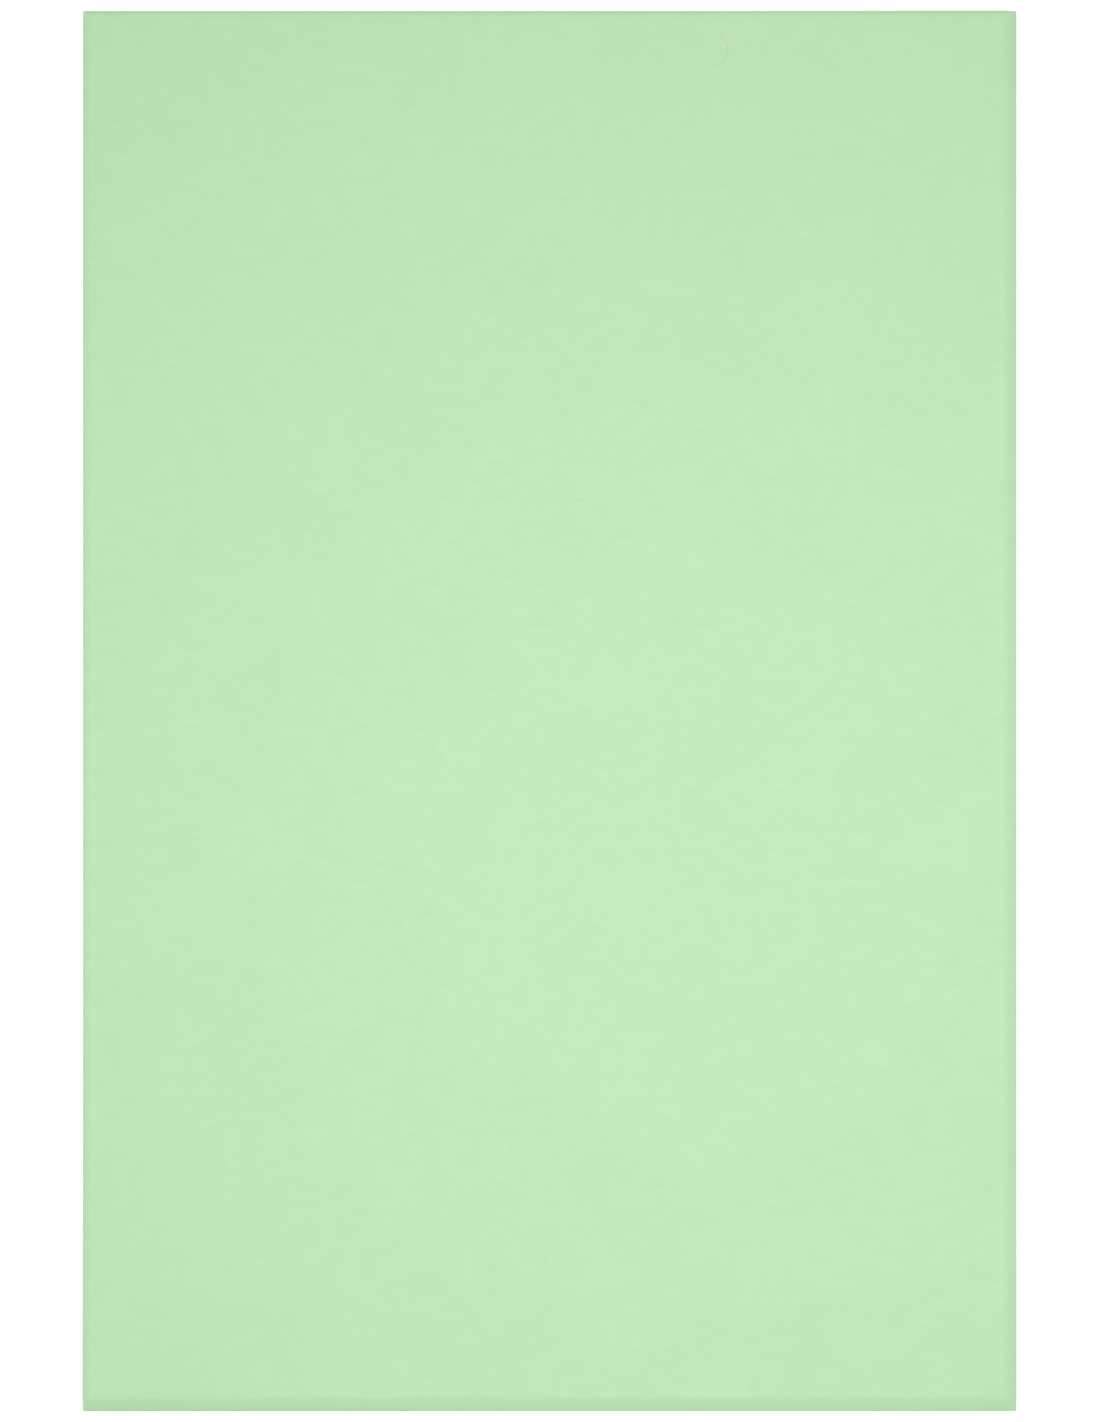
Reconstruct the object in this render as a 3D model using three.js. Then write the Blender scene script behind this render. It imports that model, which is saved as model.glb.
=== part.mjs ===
// A sheet of mint-green cardstock, cut to 12 by 18 inches, lying face up on a table.
//
// Millimetres. +X runs across the sheet, +Y along it and +Z up. The origin is on the table,
// under the middle of the sheet.
//
// The card is one solid of even thickness. Its middle lies flat on the table. The knife that
// cut it to size turned its four margins down, each over a width of its own, so the card
// stands on its edges and rises from the table to a low ridge just inside them.

import * as THREE from "three";

// The sheet as it was cut, measured along the card.
const SHEET_WIDTH = 304.8;
const SHEET_LENGTH = 457.2;
const CALIPER = 0.3;

// The angle that each margin has turned through at its edge, and the widths over which they
// turn, measured on the underside from the ridge.
const TURN_ANGLE_DEG = 21;
const LEFT_TURN_WIDTH = 2.6;
const RIGHT_TURN_WIDTH = 4.6;
const BOTTOM_TURN_WIDTH = 5.5;
const TOP_TURN_WIDTH = 2.6;

// The middle of the sheet, which touches the table.
const REST_WIDTH = 90;
const REST_LENGTH = 240;

// Facets of each turned margin, and of each slope between the middle and a ridge.
const TURN_FACETS = 8;
const SLOPE_FACETS = 6;

// Distance over which a slope of the underside is measured.
const SLOPE_STEP = 0.001;

const MINT = 0xc3eabd;

const turnAngle = THREE.MathUtils.degToRad(TURN_ANGLE_DEG);

// A turned margin: the radius of its underside, how far it comes down from the ridge, the
// card that it takes up, and how far beyond the ridge its upper arris ends.
function turnedMargin(width) {
  const radius = width / Math.sin(turnAngle);
  return {
    radius,
    drop: radius * (1 - Math.cos(turnAngle)),
    cardUsed: (radius + CALIPER / 2) * turnAngle,
    upperArris: (radius + CALIPER) * Math.sin(turnAngle),
  };
}

// The sheet along one axis, seen from above. The two ridges are placed so that the upper
// arrises, which are the outline of the sheet, lie evenly about the origin.
function axisPlan(sheetSize, restSize, lowWidth, highWidth) {
  const low = turnedMargin(lowWidth);
  const high = turnedMargin(highWidth);
  const betweenRidges = sheetSize - low.cardUsed - high.cardUsed;
  const shift = (low.upperArris - high.upperArris) / 2;
  const plan = {
    low: { ...low, ridge: shift - betweenRidges / 2 },
    high: { ...high, ridge: shift + betweenRidges / 2 },
    restHalf: restSize / 2,
  };
  return { ...plan, stations: stationsOf(plan) };
}

// Where the facets meet, from the low edge to the high one.
function stationsOf({ low, high, restHalf }) {
  const lowSide = [];
  const highSide = [];
  for (let i = TURN_FACETS; i > 0; i--) {
    const turned = turnAngle * (i / TURN_FACETS);
    lowSide.push(low.ridge - low.radius * Math.sin(turned));
    highSide.unshift(high.ridge + high.radius * Math.sin(turned));
  }
  const lowSlope = [];
  const highSlope = [];
  for (let i = 0; i <= SLOPE_FACETS; i++) {
    const share = i / SLOPE_FACETS;
    lowSlope.push(THREE.MathUtils.lerp(low.ridge, -restHalf, share));
    highSlope.push(THREE.MathUtils.lerp(restHalf, high.ridge, share));
  }
  return [...lowSide, ...lowSlope, ...highSlope, ...highSide];
}

const across = axisPlan(SHEET_WIDTH, REST_WIDTH, LEFT_TURN_WIDTH, RIGHT_TURN_WIDTH);
const along = axisPlan(SHEET_LENGTH, REST_LENGTH, BOTTOM_TURN_WIDTH, TOP_TURN_WIDTH);

// What one axis says of a place on the sheet: how high the ridge on that side is, how much of
// the way up to it the card has come, and how far the card has come down again beyond it.
function sideAt(plan, at) {
  const { radius, drop, ridge } = at < 0 ? plan.low : plan.high;
  const past = Math.max(0, Math.abs(at) - Math.abs(ridge));
  return {
    ridgeHeight: drop,
    risen: THREE.MathUtils.smoothstep(Math.abs(at), plan.restHalf, Math.abs(ridge)),
    fallen: radius - Math.sqrt(Math.max(0, radius * radius - past * past)),
  };
}

// Each ridge is as high as its margin comes down, so that the edge meets the table. Towards a
// corner the lower of the two ridges climbs to the higher one.
function undersideHeight(x, y) {
  const a = sideAt(across, x);
  const b = sideAt(along, y);
  const cornerHeight = Math.max(a.ridgeHeight, b.ridgeHeight);
  const height =
    a.ridgeHeight * a.risen * (1 - b.risen) +
    b.ridgeHeight * b.risen * (1 - a.risen) +
    cornerHeight * a.risen * b.risen;
  if (height === 0) {
    return 0;
  }
  return ((height - a.fallen) * (height - b.fallen)) / height;
}

// The direction that the card faces above a point of its underside.
function facing(x, y) {
  const slopeX = undersideHeight(x + SLOPE_STEP, y) - undersideHeight(x - SLOPE_STEP, y);
  const slopeY = undersideHeight(x, y + SLOPE_STEP) - undersideHeight(x, y - SLOPE_STEP);
  return new THREE.Vector3(-slopeX, -slopeY, 2 * SLOPE_STEP).normalize();
}

// The sheet starts as a box with a facet for each pair of stations, one unit each way. Its
// lower points go to the underside and its upper ones a caliper's thickness off it.
function cardstockSheet() {
  const columns = across.stations.length - 1;
  const rows = along.stations.length - 1;
  const geometry = new THREE.BoxGeometry(1, 1, 1, columns, rows, 1);
  const points = geometry.getAttribute("position");
  for (let i = 0; i < points.count; i++) {
    const x = across.stations[Math.round((points.getX(i) + 0.5) * columns)];
    const y = along.stations[Math.round((points.getY(i) + 0.5) * rows)];
    const point = new THREE.Vector3(x, y, Math.max(0, undersideHeight(x, y)));
    if (points.getZ(i) > 0) {
      point.addScaledVector(facing(x, y), CALIPER);
    }
    points.setXYZ(i, point.x, point.y, point.z);
  }
  geometry.computeVertexNormals();
  const card = new THREE.MeshStandardMaterial({ color: MINT, roughness: 0.92, metalness: 0 });
  const sheet = new THREE.Mesh(geometry, card);
  sheet.name = "cardstock_sheet";
  return sheet;
}

const part = new THREE.Group();
part.add(cardstockSheet());

export default part;
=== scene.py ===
import math

import bmesh
import bpy
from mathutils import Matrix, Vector, noise


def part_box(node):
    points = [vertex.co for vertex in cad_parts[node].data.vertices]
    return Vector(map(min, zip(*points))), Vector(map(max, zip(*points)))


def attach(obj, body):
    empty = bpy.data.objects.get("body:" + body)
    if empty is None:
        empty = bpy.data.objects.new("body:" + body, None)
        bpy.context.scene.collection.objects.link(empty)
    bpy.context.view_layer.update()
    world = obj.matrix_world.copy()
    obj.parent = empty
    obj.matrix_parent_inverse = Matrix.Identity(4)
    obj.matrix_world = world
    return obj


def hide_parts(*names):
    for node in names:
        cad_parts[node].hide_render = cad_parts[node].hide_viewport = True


# A sheet of mint-green cardstock, 12 by 18 inches, lying face up on a white table.
# It is one sheet of card, so there is one piece to make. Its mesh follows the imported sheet, with
# the margins that the knife turned down, a faint cockle and a small crease near the top edge.

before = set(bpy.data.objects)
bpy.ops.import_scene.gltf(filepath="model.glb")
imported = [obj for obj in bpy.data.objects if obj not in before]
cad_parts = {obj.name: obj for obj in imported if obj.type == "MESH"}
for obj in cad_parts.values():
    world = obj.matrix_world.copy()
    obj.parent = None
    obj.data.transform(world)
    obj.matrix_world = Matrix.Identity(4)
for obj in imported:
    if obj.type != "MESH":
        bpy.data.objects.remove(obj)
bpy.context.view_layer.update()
mm = 0.001
print("frame loaded")


def linearColour(hexColour):
    # sRGB hex to the linear colour that a shader socket wants
    channels = [int(hexColour[i:i + 2], 16) / 255 for i in (1, 3, 5)]
    linear = [c / 12.92 if c <= 0.04045 else ((c + 0.055) / 1.055) ** 2.4 for c in channels]
    return (*linear, 1.0)


def addNode(tree, kind, settings=None, sockets=None):
    # a node with its settings; each socket takes a value, or the output that feeds it
    node = tree.nodes.new(kind)
    for name, value in (settings or {}).items():
        setattr(node, name, value)
    for name, value in (sockets or {}).items():
        if isinstance(value, bpy.types.NodeSocket):
            tree.links.new(value, node.inputs[name])
        else:
            node.inputs[name].default_value = value
    return node


def smoothStep(value, start, end):
    share = min(1, max(0, (value - start) / (end - start)))
    return share * share * (3 - 2 * share)


# The sheet

sheetPlan = {
    "caliper": 0.3 * mm,
    "turnAngle": math.radians(21),  # what each margin has turned through at its edge
    # each margin: the width over which it turns, how strongly painted shade darkens that width,
    # and how strongly more painted shade darkens the last of it
    "left": {"turn": 2.6 * mm, "shaded": 0.23, "edgeShade": 0.15},
    "right": {"turn": 4.6 * mm, "shaded": 0.43, "edgeShade": 0.05},
    "bottom": {"turn": 5.5 * mm, "shaded": 0.64, "edgeShade": 0.05},
    "top": {"turn": 2.6 * mm, "shaded": 0.25, "edgeShade": 0.8},
    "shadeReach": 0.4,  # share of the turn over which the painted shade comes up
    "edgeShadeWidth": 1.15 * mm,  # the last part of the turn, at the very edge, with more painted shade
    "restWidth": 90 * mm,  # the middle, which touches the table
    "restLength": 240 * mm,
    "cockleHeight": 0.05 * mm,  # waves left by drying
    "cockleSpan": 70 * mm,
    "cockleSeed": (3.1, 7.7, 0.0),
    "cell": 4 * mm,  # mesh of the open face
    "turnRows": 10,  # rows of mesh across a margin
    "cutTolerance": 0.0001 * mm,  # a cut this near to a point of the mesh goes through it
    "wallAngle": math.radians(60),  # steeper faces are the cut edges, sharper edges their rims
    "arris": 0.05 * mm,  # wear of the rims
    "arrisRows": 2,
    "smoothAngle": math.radians(24),  # shading runs smoothly over flatter edges than this
}

# A half-moon crease, such as a fingertip leaves when it picks a sheet up by its edge
creasePlan = {
    "centre": (52.2 * mm, 216.0 * mm),
    "radius": 5.8 * mm,
    "heading": math.radians(-4),  # where the middle of the arc lies, seen from its centre
    "fullSpan": math.radians(25),  # up to this far round from there it has its full strength
    "endSpan": math.radians(88),  # and here it has died out
    "depth": 0.08 * mm,
    "width": 0.42 * mm,  # from the line to where the groove is about a third as deep
    "endWidth": 0.75 * mm,
    # how strongly painted shade darkens the groove
    "grooveShade": 0.56,
    "lip": 0.03 * mm,  # card pushed up inside the upper half of the arc, with a painted highlight on it
    "lipPlace": 1.2 * mm,
    "lipWidth": 0.6 * mm,
    "lipHeading": math.radians(18),
    "lipSpan": math.radians(45),
    "closerMesh": ((8.5 * mm, 3), (7.4 * mm, 5)),  # reach and cuts of each round of finer mesh
}


def turnedMargin(edge, side):
    # a margin that ends at the sheet's outline, with the ridge where it starts to turn
    radius = side["turn"] / math.sin(sheetPlan["turnAngle"])
    reach = (radius + sheetPlan["caliper"]) * math.sin(sheetPlan["turnAngle"])
    drop = radius * (1 - math.cos(sheetPlan["turnAngle"]))
    return {**side, "radius": radius, "drop": drop, "ridge": abs(edge) - reach}


def sideAt(plan, place):
    # ridge height on this side, share of the climb to it, fall beyond it, share of the turn
    # that is done, and how much painted shade darkens the card there
    side = plan["low"] if place < 0 else plan["high"]
    past = min(side["turn"], max(0, abs(place) - side["ridge"]))
    risen = smoothStep(abs(place), plan["rest"], side["ridge"])
    fallen = side["radius"] - math.sqrt(side["radius"] ** 2 - past ** 2)
    share = past / side["turn"]
    shaded = side["shaded"] * smoothStep(share, 0, sheetPlan["shadeReach"])
    edgeShade = side["edgeShade"] * smoothStep(side["turn"] - past, sheetPlan["edgeShadeWidth"], 0)
    return side["drop"], risen, fallen, share, shaded + edgeShade


def creaseAt(x, y):
    # the groove and the lip inside it, each as a share of its full strength
    dx = x - creasePlan["centre"][0]
    dy = y - creasePlan["centre"][1]
    outward = math.hypot(dx, dy) - creasePlan["radius"]
    heading = math.atan2(dy, dx)
    fromGroove = abs(heading - creasePlan["heading"])
    fromLip = abs(heading - creasePlan["lipHeading"])
    dyingOut = smoothStep(fromGroove, creasePlan["fullSpan"], creasePlan["endSpan"])
    width = creasePlan["width"] * (1 - dyingOut) + creasePlan["endWidth"] * dyingOut
    groove = math.exp(-(outward / width) ** 2) * (1 - dyingOut)
    lip = math.exp(-((outward + creasePlan["lipPlace"]) / creasePlan["lipWidth"]) ** 2)
    lip *= 1 - smoothStep(fromLip, 0, creasePlan["lipSpan"])
    return groove, lip


def cockleAt(x, y, free):
    # a slow wave that never goes below the table, gone where the card is held down
    point = Vector((x, y, 0)) / sheetPlan["cockleSpan"] + Vector(sheetPlan["cockleSeed"])
    return sheetPlan["cockleHeight"] * free * (0.5 + 0.5 * noise.noise(point))


def cutAcross(bm, axis, place):
    # one straight line of mesh from edge to edge of the sheet
    strip = [f for f in bm.faces
             if min(v.co[axis] for v in f.verts) < place < max(v.co[axis] for v in f.verts)]
    edges = {e for f in strip for e in f.edges}
    verts = {v for f in strip for v in f.verts}
    direction = Vector((1, 0, 0)) if axis == 0 else Vector((0, 1, 0))
    bmesh.ops.bisect_plane(bm, geom=[*strip, *edges, *verts], dist=sheetPlan["cutTolerance"],
                           plane_co=direction * place, plane_no=direction)


def flatUnderside(plans):
    # a grid on the table with closer lines along the margins, evenly spaced round the turn
    starts = [-plan["low"]["ridge"] - plan["low"]["turn"] for plan in plans]
    ends = [plan["high"]["ridge"] + plan["high"]["turn"] for plan in plans]
    size = [end - start for start, end in zip(starts, ends)]
    middle = [(start + end) / 2 for start, end in zip(starts, ends)]
    bm = bmesh.new()
    bmesh.ops.create_grid(bm, x_segments=round(size[0] / sheetPlan["cell"]),
                          y_segments=round(size[1] / sheetPlan["cell"]), size=0.5)
    bmesh.ops.scale(bm, vec=(*size, 1), verts=bm.verts)
    bmesh.ops.translate(bm, vec=(*middle, 0), verts=bm.verts)
    for axis, plan in enumerate(plans):
        for side, sign in ((plan["low"], -1), (plan["high"], 1)):
            for i in range(sheetPlan["turnRows"]):
                angle = sheetPlan["turnAngle"] * i / sheetPlan["turnRows"]
                cutAcross(bm, axis, sign * (side["ridge"] + side["radius"] * math.sin(angle)))
    return bm


def refineCrease(bm):
    # a finer mesh round the crease, joined to the open mesh by fans of triangles
    middleX = creasePlan["centre"][0] + creasePlan["radius"] / 2
    middleY = creasePlan["centre"][1]
    for reach, cuts in creasePlan["closerMesh"]:
        near = []
        for f in bm.faces:
            place = f.calc_center_median()
            if max(abs(place.x - middleX), abs(place.y - middleY)) < reach:
                near.append(f)
        bmesh.ops.subdivide_edges(bm, edges=list({e for f in near for e in f.edges}), cuts=cuts,
                                  use_grid_fill=True, use_single_edge=True)


def formCard(bm, plans):
    # Each ridge stands as high as its margin comes down, so that the edges meet the table.
    # Two attributes tell the finish where to paint shade, along the margins and in the crease, and
    # where to paint a highlight beside the crease.
    paintedShade = bm.verts.layers.float.new("paintedShade")
    paleFibreAndHighlight = bm.verts.layers.float.new("paleFibreAndHighlight")
    for v in bm.verts:
        ridgeX, risenX, fallenX, turnX, shadeX = sideAt(plans[0], v.co.x)
        ridgeY, risenY, fallenY, turnY, shadeY = sideAt(plans[1], v.co.y)
        height = (ridgeX * risenX * (1 - risenY) + ridgeY * risenY * (1 - risenX)
                  + max(ridgeX, ridgeY) * risenX * risenY)
        lift = (height - fallenX) * (height - fallenY) / height if height > 0 else 0
        free = (1 - (1 - risenX) * (1 - risenY)) * (1 - turnX) * (1 - turnY)
        groove, lip = creaseAt(v.co.x, v.co.y)
        crease = creasePlan["lip"] * lip - creasePlan["depth"] * groove
        v.co.z = max(0, lift + cockleAt(v.co.x, v.co.y, free) + crease)
        # painted shade: darker along the turned margins and in the crease's groove
        v[paintedShade] = max(shadeX, shadeY, creasePlan["grooveShade"] * groove)
        # painted highlight on the lip inside the crease
        v[paleFibreAndHighlight] = lip


def thickenCard(bm):
    # the thickness goes up from the underside, square to the card
    bm.normal_update()
    bmesh.ops.solidify(bm, geom=bm.faces[:], thickness=-sheetPlan["caliper"])
    bmesh.ops.recalc_face_normals(bm, faces=bm.faces[:])


def finishCut(bm):
    # the four walls are the cut edges, with the second finish, and their rims are a little worn
    for f in bm.faces:
        f.smooth = True
        f.material_index = 1 if abs(f.normal.z) < math.cos(sheetPlan["wallAngle"]) else 0
    rims = [e for e in bm.edges if e.calc_face_angle() > sheetPlan["wallAngle"]]
    bmesh.ops.bevel(bm, geom=rims, offset=sheetPlan["arris"], segments=sheetPlan["arrisRows"],
                    profile=0.5, affect="EDGES", material=-1)


def makeSheet():
    low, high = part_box("cardstock_sheet")
    across = {
        "low": turnedMargin(low.x, sheetPlan["left"]),
        "high": turnedMargin(high.x, sheetPlan["right"]),
        "rest": sheetPlan["restWidth"] / 2,
    }
    along = {
        "low": turnedMargin(low.y, sheetPlan["bottom"]),
        "high": turnedMargin(high.y, sheetPlan["top"]),
        "rest": sheetPlan["restLength"] / 2,
    }
    bm = flatUnderside((across, along))
    refineCrease(bm)
    formCard(bm, (across, along))
    thickenCard(bm)
    finishCut(bm)

    mesh = bpy.data.meshes.new("cardSheet")
    bm.to_mesh(mesh)
    print("sheet:", len(bm.faces), "faces, closed:", all(len(e.link_faces) == 2 for e in bm.edges),
          "most sides:", max(len(f.verts) for f in bm.faces),
          "volume mm3:", round(bm.calc_volume(signed=True) / mm ** 3, 1))
    bm.free()
    mesh.set_sharp_from_angle(angle=sheetPlan["smoothAngle"])
    sheet = bpy.data.objects.new("cardSheet", mesh)
    bpy.context.scene.collection.objects.link(sheet)
    return sheet


# The card's finish

coverCard = {
    "face": "#C6EDBF",
    "deep": "#BFE8BA",  # where the pulp settled thinner and shows more dye
    "paintedShade": "#BAE4B3",  # painted shade, along the turned margins and in the crease
    "paleFibreAndHighlight": "#D0F0CA",  # paler: painted highlight on the crease's lip, and torn fibre ends on the cut edges
    # each pattern: the size of its spots in millimetres, how far they are drawn out along X, Y
    # and Z, and the detail and roughness of its noise
    "clouds": {"size": 38.0, "stretch": (1, 1, 1), "detail": 2.0, "roughness": 0.5},
    # flocs lie along the machine direction, which is X
    "flocs": {"size": 4.5, "stretch": (1.6, 1, 1), "detail": 3.0, "roughness": 0.6},
    # real fibres are 0.03 mm wide, drawn as wide as a render shows
    "fibres": {"size": 1.0, "stretch": (7.0, 0.9, 1), "detail": 1.0, "roughness": 0.5},
    # real tooth is about 0.25 mm, drawn coarser so that it shows
    "tooth": {"size": 0.9, "stretch": (1, 1, 1), "detail": 2.0, "roughness": 0.6},
    "cloudShare": 0.4,  # of the clouds against the flocs
    "depthRange": (0.36, 0.64),  # the dye deepens between these levels of the noise
    "depthMost": 0.39,  # share of the deep colour that it reaches
    "fibreRange": (0.66, 0.74),  # a fibre comes up between these
    "fibreMost": 0.45,
    # share of the painted highlight's colour at its strongest
    "highlightMost": 0.5,
    "roughRange": (0.3, 0.7),  # levels of the flocs at the lowest and highest roughness
    "roughness": (0.86, 0.94),
    "toothHeight": 0.006 * mm,
    "ior": 1.5,
    "specular": 0.3,
}

cutEdge = {
    # lines that nicks in the blade leave, drawn out down the cut
    "nicks": {"size": 0.12, "stretch": (1, 1, 12), "detail": 2.0, "roughness": 0.6},
    "nickDepth": 0.01 * mm,
    "nickStrength": 0.6,
    "roughness": 0.95,
    "specular": 0.2,
}

# A colour Mix takes its two colours at these inputs, and gives their mix at this output
mixFirst = 6
mixSecond = 7
mixResult = 2


def cardPattern(tree, pattern):
    # noise from 0 to 1 in the pattern's own sizes, which are millimetres on the card
    place = addNode(tree, "ShaderNodeTexCoord")
    scale = tuple(1 / mm / s for s in pattern["stretch"])
    mapped = addNode(tree, "ShaderNodeMapping", {"vector_type": "POINT"},
                     {"Vector": place.outputs["Object"], "Scale": scale})
    return addNode(tree, "ShaderNodeTexNoise", {"noise_dimensions": "3D"}, {
        "Vector": mapped.outputs["Vector"],
        "Scale": 1 / pattern["size"],
        "Detail": pattern["detail"],
        "Roughness": pattern["roughness"],
    }).outputs["Fac"]


def vellumCoverCard():
    # Uncoated cover card with a vellum finish, dyed in the pulp and dried against felt. It gives
    # the eye one dull even colour, very faint clouds where the pulp settled and no shine.
    material = bpy.data.materials.new("vellumCoverCard")
    material.use_nodes = True
    tree = material.node_tree
    tree.nodes.clear()
    clouds = cardPattern(tree, coverCard["clouds"])
    flocs = cardPattern(tree, coverCard["flocs"])
    fibres = cardPattern(tree, coverCard["fibres"])
    tooth = cardPattern(tree, coverCard["tooth"])

    # clouds and flocs together say how deep the dye looks
    settled = addNode(tree, "ShaderNodeMix", {"data_type": "FLOAT"},
                      {"Factor": coverCard["cloudShare"], "A": flocs, "B": clouds})
    depth = addNode(tree, "ShaderNodeMapRange", {"interpolation_type": "SMOOTHSTEP"}, {
        "Value": settled.outputs["Result"],
        "From Min": coverCard["depthRange"][0],
        "From Max": coverCard["depthRange"][1],
        "To Min": 0.0,
        "To Max": coverCard["depthMost"],
    })
    dyed = addNode(tree, "ShaderNodeMix", {"data_type": "RGBA"}, {
        "Factor": depth.outputs["Result"],
        mixFirst: linearColour(coverCard["face"]),
        mixSecond: linearColour(coverCard["deep"]),
    })

    # a few fibres lie just under the surface and show as faint dark streaks
    streaks = addNode(tree, "ShaderNodeMapRange", {"interpolation_type": "SMOOTHSTEP"}, {
        "Value": fibres,
        "From Min": coverCard["fibreRange"][0],
        "From Max": coverCard["fibreRange"][1],
        "To Min": 0.0,
        "To Max": coverCard["fibreMost"],
    })
    fibred = addNode(tree, "ShaderNodeMix", {"data_type": "RGBA"}, {
        "Factor": streaks.outputs["Result"],
        mixFirst: dyed.outputs[mixResult],
        mixSecond: linearColour(coverCard["deep"]),
    })

    # painted shade darkens the margins and the crease, and a painted highlight lightens the card
    # beside the crease
    paintedShade = addNode(tree, "ShaderNodeAttribute", {"attribute_name": "paintedShade"})
    shaded = addNode(tree, "ShaderNodeMix", {"data_type": "RGBA"}, {
        "Factor": paintedShade.outputs["Fac"],
        mixFirst: fibred.outputs[mixResult],
        mixSecond: linearColour(coverCard["paintedShade"]),
    })
    paleFibreAndHighlight = addNode(tree, "ShaderNodeAttribute", {"attribute_name": "paleFibreAndHighlight"})
    highlightTone = addNode(tree, "ShaderNodeMath", {"operation": "MULTIPLY"},
                         {0: paleFibreAndHighlight.outputs["Fac"], 1: coverCard["highlightMost"]})
    colour = addNode(tree, "ShaderNodeMix", {"data_type": "RGBA"}, {
        "Factor": highlightTone.outputs["Value"],
        mixFirst: shaded.outputs[mixResult],
        mixSecond: linearColour(coverCard["paleFibreAndHighlight"]),
    })

    # thick flocs are a little rougher, and the felt leaves a fine tooth
    rough = addNode(tree, "ShaderNodeMapRange", None, {
        "Value": flocs,
        "From Min": coverCard["roughRange"][0],
        "From Max": coverCard["roughRange"][1],
        "To Min": coverCard["roughness"][0],
        "To Max": coverCard["roughness"][1],
    })
    bump = addNode(tree, "ShaderNodeBump", None,
                   {"Height": tooth, "Strength": 1.0, "Distance": coverCard["toothHeight"]})
    shader = addNode(tree, "ShaderNodeBsdfPrincipled", None, {
        "Base Color": colour.outputs[mixResult],
        "Roughness": rough.outputs["Result"],
        "Normal": bump.outputs["Normal"],
        "IOR": coverCard["ior"],
        "Specular IOR Level": coverCard["specular"],
    })
    addNode(tree, "ShaderNodeOutputMaterial", None, {"Surface": shader.outputs["BSDF"]})
    return material


def knifeCutEdge():
    # The same dyed card where the knife went through it. Torn fibre ends make it paler and
    # rougher than the face, with fine upright lines from nicks in the blade.
    material = bpy.data.materials.new("knifeCutEdge")
    material.use_nodes = True
    tree = material.node_tree
    tree.nodes.clear()
    nicks = cardPattern(tree, cutEdge["nicks"])
    torn = addNode(tree, "ShaderNodeMix", {"data_type": "RGBA"}, {
        "Factor": nicks,
        mixFirst: linearColour(coverCard["deep"]),
        mixSecond: linearColour(coverCard["paleFibreAndHighlight"]),
    })
    bump = addNode(tree, "ShaderNodeBump", None, {
        "Height": nicks,
        "Strength": cutEdge["nickStrength"],
        "Distance": cutEdge["nickDepth"],
    })
    shader = addNode(tree, "ShaderNodeBsdfPrincipled", None, {
        "Base Color": torn.outputs[mixResult],
        "Roughness": cutEdge["roughness"],
        "Normal": bump.outputs["Normal"],
        "IOR": coverCard["ior"],
        "Specular IOR Level": cutEdge["specular"],
    })
    addNode(tree, "ShaderNodeOutputMaterial", None, {"Surface": shader.outputs["BSDF"]})
    return material


sheet = makeSheet()
sheet.data.materials.append(vellumCoverCard())
sheet.data.materials.append(knifeCutEdge())
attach(sheet, "root")
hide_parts("cardstock_sheet")
print("sheet finished")

# The table, the lamps and the camera

studio = {
    "tableSize": 8.0,  # metres
    "tableDrop": 0.02 * mm,  # keeps the table clear of the card's underside
    "tableColour": "#F0F0F0",
    "tableRoughness": 0.9,
    "nearGlow": 0.3,  # added for the camera only, low round the card to keep its shadow
    "farGlow": 0.6,
    "glowSpan": (0.25, 0.9),  # distances from the card's middle, in metres
    "keyTilt": (-0.1, 0.1),  # a far lamp, a little to the upper left
    "keyAngle": math.radians(12),
    "keyShare": 0.4525,  # share of the light that each lamp and the room give the card
    "nearPlace": (48 * mm, -46 * mm),  # a near lamp over the card, right of its middle
    "nearHeight": 700 * mm,
    "nearDisk": 220 * mm,
    "nearShare": 0.433,
    "roomShare": 0.12,
    "white": "#FFFFFF",
    "whiteLevel": 1.1,  # the room as it is seen, a little over white so that no grain shows in it
}


def seenDirectly(tree):
    # 1 for rays from the camera and in reflections, 0 for the light on the object
    path = addNode(tree, "ShaderNodeLightPath")
    seen = addNode(tree, "ShaderNodeMath", {"operation": "MAXIMUM"},
                   {0: path.outputs["Is Camera Ray"], 1: path.outputs["Is Glossy Ray"]})
    either = addNode(tree, "ShaderNodeMath", {"operation": "MAXIMUM"},
                     {0: seen.outputs["Value"], 1: path.outputs["Is Transmission Ray"]})
    return either.outputs["Value"]


def whiteLaminate():
    # Matt white laminate, which gives the eye an even white ground. Its glow is for the camera
    # and grows with the distance from the card, where the near lamp gives less light.
    material = bpy.data.materials.new("whiteLaminate")
    material.use_nodes = True
    tree = material.node_tree
    tree.nodes.clear()
    place = addNode(tree, "ShaderNodeTexCoord")
    distance = addNode(tree, "ShaderNodeVectorMath", {"operation": "LENGTH"},
                       {0: place.outputs["Object"]})
    level = addNode(tree, "ShaderNodeMapRange", None, {
        "Value": distance.outputs["Value"],
        "From Min": studio["glowSpan"][0],
        "From Max": studio["glowSpan"][1],
        "To Min": studio["nearGlow"],
        "To Max": studio["farGlow"],
    })
    glow = addNode(tree, "ShaderNodeMath", {"operation": "MULTIPLY"},
                   {0: seenDirectly(tree), 1: level.outputs["Result"]})
    shader = addNode(tree, "ShaderNodeBsdfPrincipled", None, {
        "Base Color": linearColour(studio["tableColour"]),
        "Roughness": studio["tableRoughness"],
        "Specular IOR Level": 0.0,
        "Emission Color": linearColour(studio["white"]),
        "Emission Strength": glow.outputs["Value"],
    })
    addNode(tree, "ShaderNodeOutputMaterial", None, {"Surface": shader.outputs["BSDF"]})
    return material


def makeTable():
    bm = bmesh.new()
    bmesh.ops.create_grid(bm, x_segments=1, y_segments=1, size=studio["tableSize"] / 2)
    bmesh.ops.translate(bm, vec=(0, 0, -studio["tableDrop"]), verts=bm.verts)
    mesh = bpy.data.meshes.new("table")
    bm.to_mesh(mesh)
    bm.free()
    mesh.materials.append(whiteLaminate())
    table = bpy.data.objects.new("table", mesh)
    bpy.context.scene.collection.objects.link(table)


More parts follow.
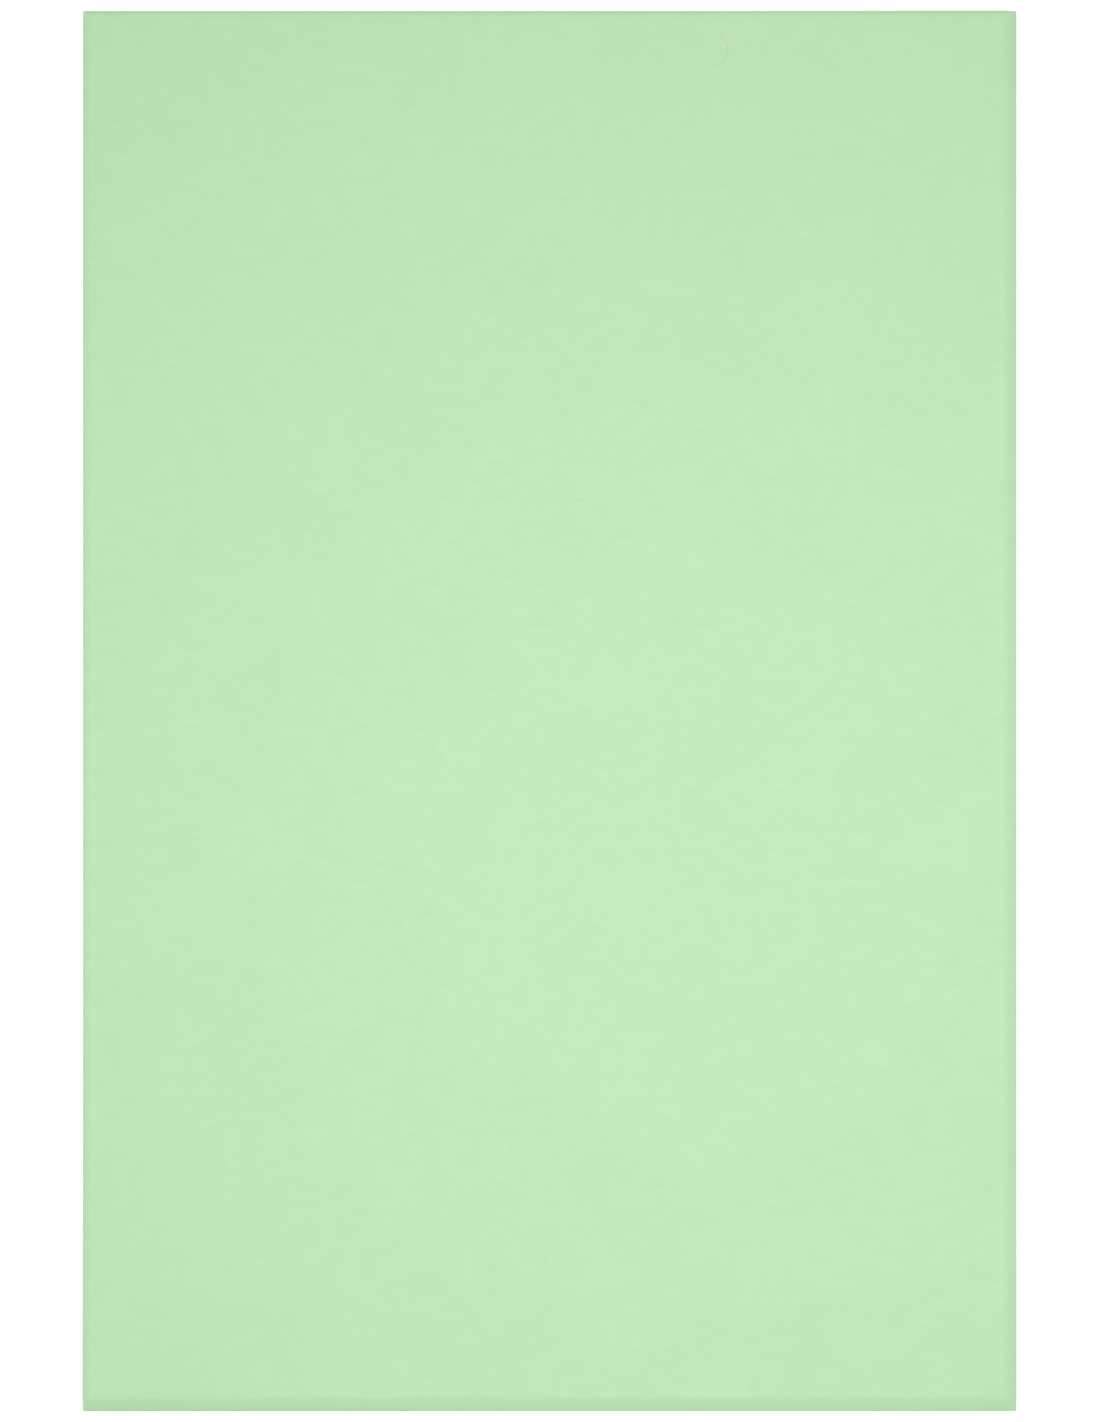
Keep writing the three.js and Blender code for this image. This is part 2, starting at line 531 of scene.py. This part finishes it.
def makeLamps():
    # a sun of pi watts a square metre lights a level face at 1
    key = bpy.data.lights.new("farKey", "SUN")
    key.energy = math.pi * studio["keyShare"]
    key.angle = studio["keyAngle"]
    keyObject = bpy.data.objects.new("farKey", key)
    direction = Vector((*studio["keyTilt"], 1))
    keyObject.rotation_euler = direction.to_track_quat("Z", "Y").to_euler()
    bpy.context.scene.collection.objects.link(keyObject)

    # a disk of this many watts lights the level face right under it at its share
    near = bpy.data.lights.new("nearDisk", "AREA")
    near.shape = "DISK"
    near.size = studio["nearDisk"]
    near.energy = math.pi ** 2 * studio["nearHeight"] ** 2 * studio["nearShare"]
    nearObject = bpy.data.objects.new("nearDisk", near)
    nearObject.location = (*studio["nearPlace"], studio["nearHeight"])
    nearObject.visible_camera = False
    bpy.context.scene.collection.objects.link(nearObject)


def makeRoom():
    # an even pale room that shows as plain white
    world = bpy.data.worlds.new("room")
    bpy.context.scene.world = world
    world.use_nodes = True
    tree = world.node_tree
    tree.nodes.clear()
    fill = addNode(tree, "ShaderNodeBackground", None,
                   {"Color": linearColour(studio["white"]), "Strength": studio["roomShare"]})
    white = addNode(tree, "ShaderNodeBackground", None,
                    {"Color": linearColour(studio["white"]), "Strength": studio["whiteLevel"]})
    mixed = addNode(tree, "ShaderNodeMixShader", None, {
        0: seenDirectly(tree),
        1: fill.outputs["Background"],
        2: white.outputs["Background"],
    })
    addNode(tree, "ShaderNodeOutputWorld", None, {"Surface": mixed.outputs["Shader"]})


# The camera looks straight down. It stands where the sheet's outline, seen from its height,
# covers as much of the picture as it does in the photograph.
shot = {
    "imageSize": (1100, 1422),
    "sheetLeft": 83.2,  # pixels of the sheet's outline in the photograph
    "sheetRight": 1016.2,
    "sheetTop": 11.0,
    "sheetBottom": 1411.3,
    "lens": 85.0,
    "sensor": 36.0,
}


def makeCamera():
    low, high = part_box("cardstock_sheet")
    pixel = (high.y - low.y) / (shot["sheetBottom"] - shot["sheetTop"])
    outlineHeight = sheetPlan["caliper"] * math.cos(sheetPlan["turnAngle"])
    distance = pixel * shot["imageSize"][1] * shot["lens"] / shot["sensor"]
    offX = shot["imageSize"][0] / 2 - (shot["sheetLeft"] + shot["sheetRight"]) / 2
    offY = shot["imageSize"][1] / 2 - (shot["sheetTop"] + shot["sheetBottom"]) / 2
    camera = bpy.data.cameras.new("camera")
    camera.lens = shot["lens"]
    camera.sensor_width = shot["sensor"]
    cameraObject = bpy.data.objects.new("camera", camera)
    cameraObject.location = (offX * pixel, -offY * pixel, outlineHeight + distance)
    bpy.context.scene.collection.objects.link(cameraObject)
    bpy.context.scene.camera = cameraObject


makeTable()
makeLamps()
makeRoom()
makeCamera()
bpy.context.scene.view_settings.view_transform = "Standard"
print("studio ready")
